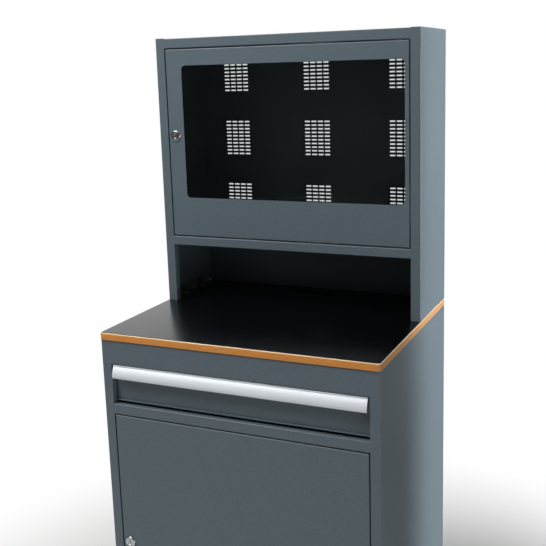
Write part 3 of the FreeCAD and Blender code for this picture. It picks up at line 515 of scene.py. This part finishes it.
def drawn(name, points):
    """A new piece in edit mode: one vertex pulled along a row of points that closes on itself."""
    clear_selection()
    bpy.ops.mesh.primitive_plane_add(size=MM, location=(0, 0, 0))
    piece = bpy.context.object
    piece.name = piece.data.name = name
    bpy.ops.object.mode_set(mode="EDIT")
    bpy.ops.mesh.select_mode(type="VERT")
    bpy.ops.mesh.select_all(action="SELECT")
    bpy.ops.mesh.merge(type="CENTER")
    bpy.ops.transform.translate(value=points[0])
    for before, after in zip(points, points[1:]):
        bpy.ops.mesh.extrude_region_move(TRANSFORM_OT_translate={"value": Vector(after) - Vector(before)})
    ends = (Vector(points[0]), Vector(points[-1]))
    choose("VERT", lambda place, _: any((place - end).length < TOUCH for end in ends))
    bpy.ops.mesh.edge_face_add()
    bpy.ops.mesh.select_all(action="SELECT")
    return piece


def turned(name, section, axis=(0, 1, 0)):
    """A turned piece: a closed section of (radius, reach) pairs spun about an axis through the origin."""
    out = Vector((1, 0, 0))
    along = Vector(axis)
    piece = drawn(name, [out * radius + along * reach for radius, reach in section])
    steps = bpy.context.scene.cabinet_sizes.turns
    bpy.ops.mesh.spin(steps=steps, angle=2 * math.pi, center=(0, 0, 0), axis=along)
    bpy.ops.mesh.select_all(action="SELECT")
    bpy.ops.mesh.remove_doubles(threshold=TOUCH)
    face_outwards()
    bpy.ops.object.mode_set(mode="OBJECT")
    return piece


def arc(centre, radius, start, end, steps):
    """Points of an arc in a plane, both ends included; angles in degrees."""
    turns = [math.radians(start + (end - start) * step / steps) for step in range(steps + 1)]
    return [(centre[0] + radius * math.cos(turn), centre[1] + radius * math.sin(turn)) for turn in turns]


def smooth(piece, angle=35):
    """Shade a piece smooth, apart from edges that turn by more than the angle."""
    pick(piece)
    bpy.ops.object.shade_smooth_by_angle(angle=math.radians(angle))


def cut_out(piece, low, high):
    """Cut a box-shaped slot into a piece."""
    clear_selection()
    low, high = Vector(low), Vector(high)
    bpy.ops.mesh.primitive_cube_add(size=1, location=(low + high) / 2, scale=high - low)
    tool = bpy.context.object
    pick(piece)
    modifier = piece.modifiers.new("slot", "BOOLEAN")
    modifier.object = tool
    modifier.operation = "DIFFERENCE"
    modifier.solver = "EXACT"
    bpy.ops.object.modifier_apply(modifier=modifier.name)
    bpy.data.objects.remove(tool)


def hand_over(piece, body, slot, *nodes):
    """Give a finished piece the material of its slot and its body, and hide the nodes that it stands for."""
    if not piece.data.polygons:
        raise RuntimeError(f"{piece.name} came out without faces")
    pick(piece)
    apply_place()
    piece.data.materials.clear()
    piece.data.materials.append(finish(slot))
    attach(piece, body)
    if nodes:
        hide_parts(*nodes)
    clear_selection()


def copied(piece, name, place, turn):
    """A copy of a piece with its own mesh, turned about the origin if there is a turn, and then moved."""
    pick(piece)
    bpy.ops.object.duplicate(linked=False)
    copy = bpy.context.object
    copy.name = copy.data.name = name
    copy.matrix_world = Matrix.Translation(place) @ (turn or Matrix.Identity(4))
    apply_place()
    return copy


def set_copies(pattern, slot, rows):
    """Hand over a copy of the pattern for each row of name, body, place, turn and nodes, and drop it."""
    for name, body, place, turn, nodes in rows:
        hand_over(copied(pattern, name, place, turn), body, slot, *nodes)
    mesh = pattern.data
    bpy.data.objects.remove(pattern)
    bpy.data.meshes.remove(mesh)


def lock_place(door):
    """The middle of a door's front at its lock."""
    low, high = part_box(f"{door}_lock_plug")
    middle = (low + high) / 2
    return Vector((middle.x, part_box(DOORS[door])[0].y, middle.z))


def plug_size():
    """Radius of a lock's plug, and where its front and rear lie behind the door's front."""
    # Both locks are alike.
    low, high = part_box("window_lock_plug")
    front = lock_place("window").y
    return (high.x - low.x) / 2, low.y - front, high.y - front


def lock_rows(part, body, *nodes):
    """Rows for copies of a part at the locks of both doors, with the nodes that it stands for."""
    for door in DOORS:
        replaced = [f"{door}_{node}" for node in nodes]
        yield f"{door}_lock_{part}", f"{door}_{body}", lock_place(door), None, replaced


# Pieces


class CABINET_OT_finish_nodes(bpy.types.Operator):
    """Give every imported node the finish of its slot"""

    bl_idname = "cabinet.finish_nodes"
    bl_label = "Finish the packed nodes"

    def execute(self, context):
        for row in frame["record"]["subparts"]:
            if row["material_slot"] not in MAKERS:
                raise RuntimeError(f"no finish for the slot {row['material_slot']}")
            mesh = frame["nodes"][row["node"]].data
            mesh.materials.clear()
            mesh.materials.append(finish(row["material_slot"]))
        return {"FINISHED"}


class CABINET_OT_worktop(bpy.types.Operator):
    """Model the worktop with its rounded arris and the film that lies on it"""

    bl_idname = "cabinet.worktop"
    bl_label = "Worktop"

    def execute(self, context):
        sizes = context.scene.cabinet_sizes
        low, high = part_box("worktop_board")
        margin = Vector((BOARD_MARGIN, BOARD_MARGIN, 0))
        low, high = low + margin, high - margin
        rounds = (sizes.board_corner, sizes.board_arris, sizes.board_foot)
        board = self.rounded_slab("worktop_core", low, high, *rounds)
        self.set_down(sizes, board, "plywood", "worktop_board")
        inset = Vector((sizes.board_arris, sizes.board_arris, 0))
        film_low, film_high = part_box("worktop_film")
        low = Vector((low.x, low.y, film_low.z)) + inset
        high = Vector((high.x, high.y, film_high.z)) - inset
        corner = sizes.board_corner - sizes.board_arris / 2
        film = self.rounded_slab("worktop_sheet", low, high, corner, sizes.film_edge, 0)
        self.set_down(sizes, film, "black_film", "worktop_film")
        return {"FINISHED"}

    @staticmethod
    def rounded_slab(name, low, high, corner, upper, lower):
        """A slab with rounded upright corners, upper rim and lower rim."""
        clear_selection()
        bpy.ops.mesh.primitive_cube_add(size=1, location=(low + high) / 2, scale=high - low)
        piece = bpy.context.object
        piece.name = piece.data.name = name
        apply_place()
        bpy.ops.object.mode_set(mode="EDIT")
        choose("EDGE", lambda middle, way: abs(way.z) > ALONG_SHARE)
        bpy.ops.mesh.bevel(offset=corner, segments=BOARD_CORNER_STEPS, affect="EDGES")
        for level, size in ((high.z, upper), (low.z, lower)):
            if size:
                choose(
                    "EDGE",
                    lambda middle, way: abs(middle.z - level) < TOUCH and abs(way.z) < 1 - ALONG_SHARE,
                )
                bpy.ops.mesh.bevel(offset=size, segments=BOARD_RIM_STEPS, affect="EDGES")
        bpy.ops.object.mode_set(mode="OBJECT")
        return piece

    @staticmethod
    def set_down(sizes, piece, slot, node):
        """Cut the hole for cables and hand the slab over."""
        low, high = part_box("worktop_outlet")
        middle = (low + high) / 2
        half = Vector((sizes.outlet_width / 2, sizes.outlet_depth / 2, high.z - low.z))
        cut_out(piece, middle - half, middle + half)
        smooth(piece, angle=30)
        hand_over(piece, "carcass", slot, node)


class CABINET_OT_drawer_handle(bpy.types.Operator):
    """Extrude the drawer handle with its smooth rounded face"""

    bl_idname = "cabinet.drawer_handle"
    bl_label = "Drawer handle"

    def execute(self, context):
        sizes = context.scene.cabinet_sizes
        low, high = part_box("drawer_handle")
        face, top = high.y, high.z
        ledge = face - sizes.handle_ledge
        leg = face - sizes.handle_wall
        lip = low.y + sizes.handle_lip
        neck = ledge + sizes.handle_groove + sizes.handle_wall
        band = top - sizes.handle_band
        roof = top - sizes.handle_wall
        knee = top - sizes.handle_leg
        nose = top - sizes.handle_nose
        foot = top - sizes.handle_height
        outside = self.face_points((ledge + sizes.handle_groove, band), (low.y, nose), sizes.handle_face)
        inside = [(y + sizes.handle_wall, z) for y, z in reversed(outside)]
        section = [(face, top), (ledge, top), (ledge, band), *outside]
        section += [(low.y + sizes.handle_groove, nose), (lip, foot), (lip + sizes.handle_wall, foot)]
        section += [*inside[:-1], (neck, band - sizes.handle_groove), (neck, roof)]
        section += [(leg, roof), (leg, knee), (face, knee)]
        piece = drawn("handle_extrusion", [(low.x, y, z) for y, z in section])
        bpy.ops.mesh.edge_face_add()
        bpy.ops.mesh.extrude_region_move(TRANSFORM_OT_translate={"value": (high.x - low.x, 0, 0)})
        face_outwards()
        crisp = [(ledge, top), (ledge, band), (lip, foot), (lip + sizes.handle_wall, foot)]
        choose(
            "EDGE",
            lambda middle, way: abs(way.x) > ALONG_SHARE
            and any(math.hypot(middle.y - y, middle.z - z) < TOUCH for y, z in crisp),
        )
        bpy.ops.mesh.bevel(offset=sizes.handle_edge, segments=HANDLE_EDGE_STEPS, affect="EDGES")
        bpy.ops.object.mode_set(mode="OBJECT")
        # The leg ends before the handle does, so that its cut ends don't catch the light.
        left = (low.x - OVERRUN, low.x + sizes.handle_notch)
        right = (high.x - sizes.handle_notch, high.x + OVERRUN)
        for start, end in (left, right):
            cut_out(piece, (start, leg - OVERRUN, knee - OVERRUN), (end, face + OVERRUN, roof))
        smooth(piece, angle=20)
        hand_over(piece, "drawer", "anodised_aluminium", "drawer_handle")
        return {"FINISHED"}

    @staticmethod
    def face_points(start, end, radius):
        """The arc of the rounded face from the groove down to the nose, bulging to the front."""
        start, end = Vector(start), Vector(end)
        chord = end - start
        across = Vector((-chord.y, chord.x)).normalized()
        middle = (start + end) / 2
        reach = math.sqrt(radius**2 - (chord.length / 2) ** 2)
        centre = max((middle + across * reach, middle - across * reach), key=lambda spot: spot.x)
        first = math.degrees(math.atan2(start.y - centre.y, start.x - centre.x)) % 360
        last = math.degrees(math.atan2(end.y - centre.y, end.x - centre.x)) % 360
        return arc(centre, radius, first, last, HANDLE_FACE_STEPS)


class CABINET_OT_lock_rings(bpy.types.Operator):
    """Turn the rounded chrome ring round each lock"""

    bl_idname = "cabinet.lock_rings"
    bl_label = "Lock rings"

    def execute(self, context):
        sizes = context.scene.cabinet_sizes
        low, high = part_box("window_lock_rosette")
        radius = (high.x - low.x) / 2
        proud = low.y - high.y
        bore = plug_size()[0] + sizes.plug_play
        outer, inner = sizes.ring_round, sizes.bore_round
        rim = arc((radius - outer, proud + outer), outer, 0, -90, RING_RIM_STEPS)
        mouth = arc((bore + inner, proud + inner), inner, -90, -180, RING_BORE_STEPS)
        pattern = turned("lock_ring_pattern", [(bore, 0), (radius, 0), *rim, *mouth])
        smooth(pattern)
        set_copies(pattern, "lock_chrome", lock_rows("ring", "door", "lock_rosette"))
        return {"FINISHED"}


class CABINET_OT_lock_cores(bpy.types.Operator):
    """Turn the lock cores and cut their key slots"""

    bl_idname = "cabinet.lock_cores"
    bl_label = "Lock cores"

    def execute(self, context):
        sizes = context.scene.cabinet_sizes
        radius, front, rear = plug_size()
        rim = sizes.bore_round
        edge = arc((radius - rim, front + rim), rim, 0, -90, CORE_EDGE_STEPS)
        sunk = front + sizes.core_step
        inner = radius * CORE_STEP_SHARE
        section = [(0, rear), (radius, rear), *edge]
        section += [(inner + sizes.core_step, front), (inner, sunk), (0, sunk)]
        pattern = turned("lock_core_pattern", section)
        half = Vector((sizes.slot_width / 2, 0, sizes.slot_height / 2))
        mouth = Vector((0, front - OVERRUN, 0))
        end = Vector((0, front + sizes.slot_depth, 0))
        cut_out(pattern, mouth - half, end + half)
        smooth(pattern)
        set_copies(pattern, "lock_chrome", lock_rows("core", "lock", "lock_plug"))
        return {"FINISHED"}


class CABINET_OT_lock_sleeves(bpy.types.Operator):
    """Turn the threaded sleeve behind each door and add its nut"""

    bl_idname = "cabinet.lock_sleeves"
    bl_label = "Lock sleeves and nuts"

    def execute(self, context):
        sizes = context.scene.cabinet_sizes
        set_copies(self.sleeve(sizes), "zinc_plate", lock_rows("sleeve", "door"))
        set_copies(self.nut(sizes), "zinc_plate", lock_rows("nut", "door"))
        return {"FINISHED"}

    @staticmethod
    def sleeve(sizes):
        """A sleeve with a saw-toothed section for its thread, from the door's skin to the plug's rear."""
        radius, _, rear = plug_size()
        bore = radius + sizes.sleeve_play
        pitch = sizes.thread_pitch
        count = int((rear - sizes.sleeve_set - sizes.sheet) / pitch)
        root = sizes.sleeve_radius - sizes.thread_depth
        section = [(bore, sizes.sheet), (root, sizes.sheet)]
        for turn in range(count):
            start = sizes.sheet + turn * pitch
            section += [(sizes.sleeve_radius, start + pitch / 2), (root, start + pitch)]
        section += [(bore, sizes.sheet + count * pitch)]
        pattern = turned("lock_sleeve_pattern", section)
        smooth(pattern)
        return pattern

    @staticmethod
    def nut(sizes):
        """A hexagon nut against the door's inner skin, chamfered, with its bore over the sleeve."""
        clear_selection()
        bpy.ops.mesh.primitive_cylinder_add(
            vertices=NUT_SIDES,
            radius=sizes.nut_radius,
            depth=sizes.nut_thick,
            location=(0, sizes.sheet + sizes.nut_thick / 2, 0),
            rotation=(math.pi / 2, 0, 0),
        )
        pattern = bpy.context.object
        pattern.name = pattern.data.name = "lock_nut_pattern"
        apply_place()
        flat = sizes.nut_radius * math.cos(math.pi / NUT_SIDES)
        bpy.ops.object.mode_set(mode="EDIT")
        choose("FACE", lambda middle, normal: abs(normal.y) > ALONG_SHARE)
        bpy.ops.mesh.inset(thickness=flat - sizes.sleeve_radius)
        bpy.ops.mesh.bridge_edge_loops()
        choose("EDGE", lambda middle, way: math.hypot(middle.x, middle.z) > flat - TOUCH)
        bpy.ops.mesh.bevel(offset=sizes.nut_chamfer, segments=NUT_EDGE_STEPS, affect="EDGES")
        face_outwards()
        bpy.ops.object.mode_set(mode="OBJECT")
        smooth(pattern, angle=30)
        return pattern


class CABINET_OT_screws(bpy.types.Operator):
    """Turn one pan-head screw and set copies of it where pieces are screwed together"""

    bl_idname = "cabinet.screws"
    bl_label = "Screws"

    def execute(self, context):
        sizes = context.scene.cabinet_sizes
        rim = sizes.screw_rise * SCREW_RIM_SHARE
        unit = arc((0, 0), 1, 0, 90, SCREW_DOME_STEPS)
        dome = [(sizes.screw_head * across, rim + (sizes.screw_rise - rim) * up) for across, up in unit]
        pattern = turned("screw_pattern", [(0, 0), (sizes.screw_head, 0), *dome], axis=(0, 0, 1))
        half = Vector((sizes.screw_slot / 2, sizes.screw_head + OVERRUN, 0))
        floor = Vector((0, 0, sizes.screw_rise * SCREW_SLOT_SHARE))
        top = Vector((0, 0, sizes.screw_rise + OVERRUN))
        cut_out(pattern, floor - half, top + half)
        smooth(pattern)
        set_copies(pattern, "zinc_plate", [(*row, []) for row in self.places(sizes)])
        return {"FINISHED"}

    @staticmethod
    def places(sizes):
        """Name, body, seat of the head and turn of each screw."""
        low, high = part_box("housing_brackets")
        reach = high.x - sizes.bracket_inset
        ends = (high.y - sizes.bracket_set, low.y + sizes.bracket_set)
        spots = [(x, y) for y in ends for x in (-reach, reach)]
        for number, (x, y) in enumerate(spots, start=1):
            yield f"bracket_screw_{number}", "carcass", Vector((x, y, low.z + sizes.sheet)), None
        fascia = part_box("base_fascia")[1]
        rail_low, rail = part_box("base_rear_rail")
        rows = ((fascia, fascia.y - sizes.rail_set), (rail, rail_low.y + sizes.rail_set))
        spots = [(side * end.x * SCREW_ROW_SHARE, y, end.z) for end, y in rows for side in (-1, 1)]
        for number, (x, y, z) in enumerate(spots, start=1):
            yield f"worktop_screw_{number}", "carcass", Vector((x, y, z - sizes.sheet)), UPSIDE_DOWN
        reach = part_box("drawer_front")[1].x * SCREW_ROW_SHARE
        low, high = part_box("drawer_handle")
        for number, x in enumerate((-reach, 0, reach), start=1):
            seat = Vector((x, high.y + sizes.sheet, low.z + sizes.handle_screw_rise))
            yield f"handle_screw_{number}", "drawer", seat, FACING_REAR
        for door in DOORS:
            place = lock_place(door)
            seat = Vector((place.x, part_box(f"{door}_lock_cam")[1].y, place.z))
            yield f"{door}_cam_screw", f"{door}_lock", seat, FACING_REAR


class CABINET_OT_hinge_bushes(bpy.types.Operator):
    """Turn the plastic bush that keeps each door off its rail"""

    bl_idname = "cabinet.hinge_bushes"
    bl_label = "Hinge bushes"

    def execute(self, context):
        sizes = context.scene.cabinet_sizes
        low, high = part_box("window_hinge_pins")
        bore = (high.x - low.x) / 2 + sizes.pin_play
        rise = (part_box(DOORS["window"])[0].z - low.z) * BUSH_SHARE
        section = [(bore, 0), (sizes.bush_radius, 0), (sizes.bush_radius, rise - sizes.bush_edge)]
        section += [(sizes.bush_radius - sizes.bush_edge, rise), (bore, rise)]
        pattern = turned("hinge_bush_pattern", section, axis=(0, 0, 1))
        smooth(pattern)
        set_copies(pattern, "black_plastic", self.rows())
        return {"FINISHED"}

    @staticmethod
    def rows():
        """Upper and lower bush of each door, the lower one upside down."""
        for door, panel in DOORS.items():
            low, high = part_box(f"{door}_hinge_pins")
            middle = (low + high) / 2
            panel_low, panel_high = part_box(panel)
            upper = Vector((middle.x, middle.y, panel_high.z))
            lower = Vector((middle.x, middle.y, panel_low.z))
            yield f"{door}_hinge_bush_1", f"{door}_door", upper, None, []
            yield f"{door}_hinge_bush_2", f"{door}_door", lower, UPSIDE_DOWN, []


# Stage, in metres, degrees and watts

FLOOR_RADIUS = 9
FLOOR_SIDES = 96
# The even light of the room, and what gloss mirrors of the dark room in front and of the backdrop behind.
ROOM_LIGHT = 0.05
MIRRORED_ROOM = 0.04
MIRRORED_BACKDROP = 0.93
# How much of the backdrop's light gloss finds on the right.
RIGHT_SHARE = 0.33
# Where a direction goes over from the room to the backdrop, and from the right to the left.
BACKDROP_EDGE = (-0.1, 0.35)
LEFT_EDGE = (0.2, -0.1)
# Name, place, target, width, height, power and spread of each soft box.
SOFT_BOXES = (
    ("key_box", (-1.62, -1.61, 3.84), (0.0, -0.1, 1.0), 1.8, 1.8, 130, 180),
    ("overhead_box", (0.1, -1.0, 3.9), (0.0, -0.1, 1.1), 2.0, 1.2, 10, 180),
    ("side_box", (3.0, -1.2, 0.55), (0.0, -0.2, 0.9), 1.4, 1.0, 22, 180),
    ("right_box", (1.5, 0.63, 1.0), (0.0, 0.63, 1.0), 1.2, 2.6, 15, 20),
    ("upper_right_box", (1.5, 0.1, 1.42), (0.0, 0.1, 1.42), 0.5, 1.0, 0.5, 20),
    ("rear_box", (-0.55, 2.6, 0.7), (0.0, 0.29, 0.9), 1.0, 0.8, 9, 60),
)
CAMERA_PLACE = (0.901, -1.983, 1.640)
CAMERA_AZIMUTH = 24.13
CAMERA_ELEVATION = 10.89
CAMERA_ROLL = -1.69
# The sensor and the lens in millimetres, the shift as a share of the frame.
CAMERA_SENSOR = 36.0
CAMERA_LENS = 57.8
CAMERA_SHIFT = (-0.0176, -0.0656)


class CABINET_OT_stage(bpy.types.Operator):
    """Set the floor, the soft light and the camera"""

    bl_idname = "cabinet.stage"
    bl_label = "Stage"

    def execute(self, context):
        self.add_floor(context)
        self.set_world(context)
        self.add_lights(context)
        self.add_camera(context)
        context.scene.view_settings.view_transform = "Standard"
        return {"FINISHED"}

    @staticmethod
    def add_floor(context):
        """A wide round floor under the feet."""
        clear_selection()
        bpy.ops.mesh.primitive_circle_add(
            vertices=FLOOR_SIDES, radius=FLOOR_RADIUS, fill_type="NGON", location=(0, 0, 0)
        )
        floor = context.object
        floor.name = floor.data.name = "floor"
        floor.data.materials.append(studio_floor(context.scene.cabinet_colours))
        clear_selection()

    @staticmethod
    def set_world(context):
        """A white backdrop behind the cabinet, a darker room in front, and a low even light."""
        world = bpy.data.worlds.new("studio")
        world.use_nodes = True
        context.scene.world = world
        tree = world.node_tree
        way = add_node(tree, "ShaderNodeTexCoord").outputs["Generated"]
        axes = add_node(tree, "ShaderNodeSeparateXYZ", {"Vector": way}).outputs
        back = {"Value": axes["Y"], "From Min": BACKDROP_EDGE[0], "From Max": BACKDROP_EDGE[1]}
        behind = add_node(tree, "ShaderNodeMapRange", back, interpolation_type="SMOOTHSTEP").outputs[0]
        side = {"Value": axes["X"], "From Min": LEFT_EDGE[0], "From Max": LEFT_EDGE[1]}
        side["To Min"] = RIGHT_SHARE
        left = add_node(tree, "ShaderNodeMapRange", side, interpolation_type="SMOOTHSTEP").outputs[0]
        lit = add_node(tree, "ShaderNodeMath", {0: behind, 1: left}, operation="MULTIPLY").outputs[0]
        levels = {"Value": lit, "To Min": MIRRORED_ROOM, "To Max": MIRRORED_BACKDROP}
        mirrored = add_node(tree, "ShaderNodeMapRange", levels).outputs[0]
        even, gloss, white = (
            add_node(tree, "ShaderNodeBackground", {"Color": WHITE, "Strength": strength}).outputs[0]
            for strength in (ROOM_LIGHT, mirrored, 1.0)
        )
        glossy = add_node(tree, "ShaderNodeLightPath").outputs["Is Glossy Ray"]
        room = add_node(tree, "ShaderNodeMixShader", {0: glossy, 1: even, 2: gloss}).outputs[0]
        backdrop = add_node(tree, "ShaderNodeMixShader", {0: straight_view(tree), 1: room, 2: white})
        tree.links.new(backdrop.outputs[0], tree.nodes["World Output"].inputs["Surface"])

    @staticmethod
    def add_lights(context):
        """Soft boxes: a key at the upper left, weaker ones round the part, gridded ones at the right."""
        for name, place, target, width, height, power, spread in SOFT_BOXES:
            light = bpy.data.lights.new(name, "AREA")
            light.shape = "RECTANGLE"
            light.size = width
            light.size_y = height
            light.energy = power
            light.spread = math.radians(spread)
            lamp = bpy.data.objects.new(name, light)
            context.scene.collection.objects.link(lamp)
            lamp.location = place
            lamp.rotation_euler = (Vector(target) - Vector(place)).to_track_quat("-Z", "Y").to_euler()
            lamp.visible_camera = False
            # Seen through the pane, a lamp would flare in the vents.
            lamp.visible_transmission = False

    @staticmethod
    def add_camera(context):
        """A camera at the photograph's place: right of the front, above the worktop."""
        azimuth, elevation, roll = map(math.radians, (CAMERA_AZIMUTH, CAMERA_ELEVATION, CAMERA_ROLL))
        back = Vector((
            math.sin(azimuth) * math.cos(elevation),
            -math.cos(azimuth) * math.cos(elevation),
            math.sin(elevation),
        ))
        level = Vector((math.cos(azimuth), math.sin(azimuth), 0))
        above = back.cross(level)
        right = math.cos(roll) * level + math.sin(roll) * above
        up = -math.sin(roll) * level + math.cos(roll) * above
        turn = Matrix((right, up, back)).transposed().to_4x4()
        camera = bpy.data.objects.new("camera", bpy.data.cameras.new("camera"))
        context.scene.collection.objects.link(camera)
        camera.matrix_world = Matrix.Translation(CAMERA_PLACE) @ turn
        camera.data.sensor_width = CAMERA_SENSOR
        camera.data.lens = CAMERA_LENS
        camera.data.shift_x, camera.data.shift_y = CAMERA_SHIFT
        context.scene.camera = camera


class CABINET_PT_panel(bpy.types.Panel):
    """Lists the cabinet's pieces in the sidebar"""

    bl_label = "Computer cabinet"
    bl_idname = "CABINET_PT_panel"
    bl_space_type = "VIEW_3D"
    bl_region_type = "UI"
    bl_category = "Cabinet"

    def draw(self, context):
        column = self.layout.column()
        for operator in OPERATORS:
            column.operator(operator.bl_idname)
        for group in (context.scene.cabinet_sizes, context.scene.cabinet_colours):
            for name in group.__annotations__:
                column.prop(group, name)


OPERATORS = (
    CABINET_OT_finish_nodes,
    CABINET_OT_worktop,
    CABINET_OT_drawer_handle,
    CABINET_OT_lock_rings,
    CABINET_OT_lock_cores,
    CABINET_OT_lock_sleeves,
    CABINET_OT_screws,
    CABINET_OT_hinge_bushes,
    CABINET_OT_stage,
)
CLASSES = (CabinetSizes, CabinetColours, *OPERATORS, CABINET_PT_panel)


def register():
    """Register the classes and hang the sizes and colours on the scene."""
    for item in CLASSES:
        bpy.utils.register_class(item)
    bpy.types.Scene.cabinet_sizes = PointerProperty(type=CabinetSizes)
    bpy.types.Scene.cabinet_colours = PointerProperty(type=CabinetColours)


def unregister():
    """Undo what register did, in reverse."""
    del bpy.types.Scene.cabinet_colours
    del bpy.types.Scene.cabinet_sizes
    for item in reversed(CLASSES):
        bpy.utils.unregister_class(item)


def main():
    """Make every piece and the stage."""
    register()
    bpy.ops.cabinet.finish_nodes()
    bpy.ops.cabinet.worktop()
    bpy.ops.cabinet.drawer_handle()
    bpy.ops.cabinet.lock_rings()
    bpy.ops.cabinet.lock_cores()
    bpy.ops.cabinet.lock_sleeves()
    bpy.ops.cabinet.screws()
    bpy.ops.cabinet.hinge_bushes()
    bpy.ops.cabinet.stage()


if __name__ == "__main__":
    main()
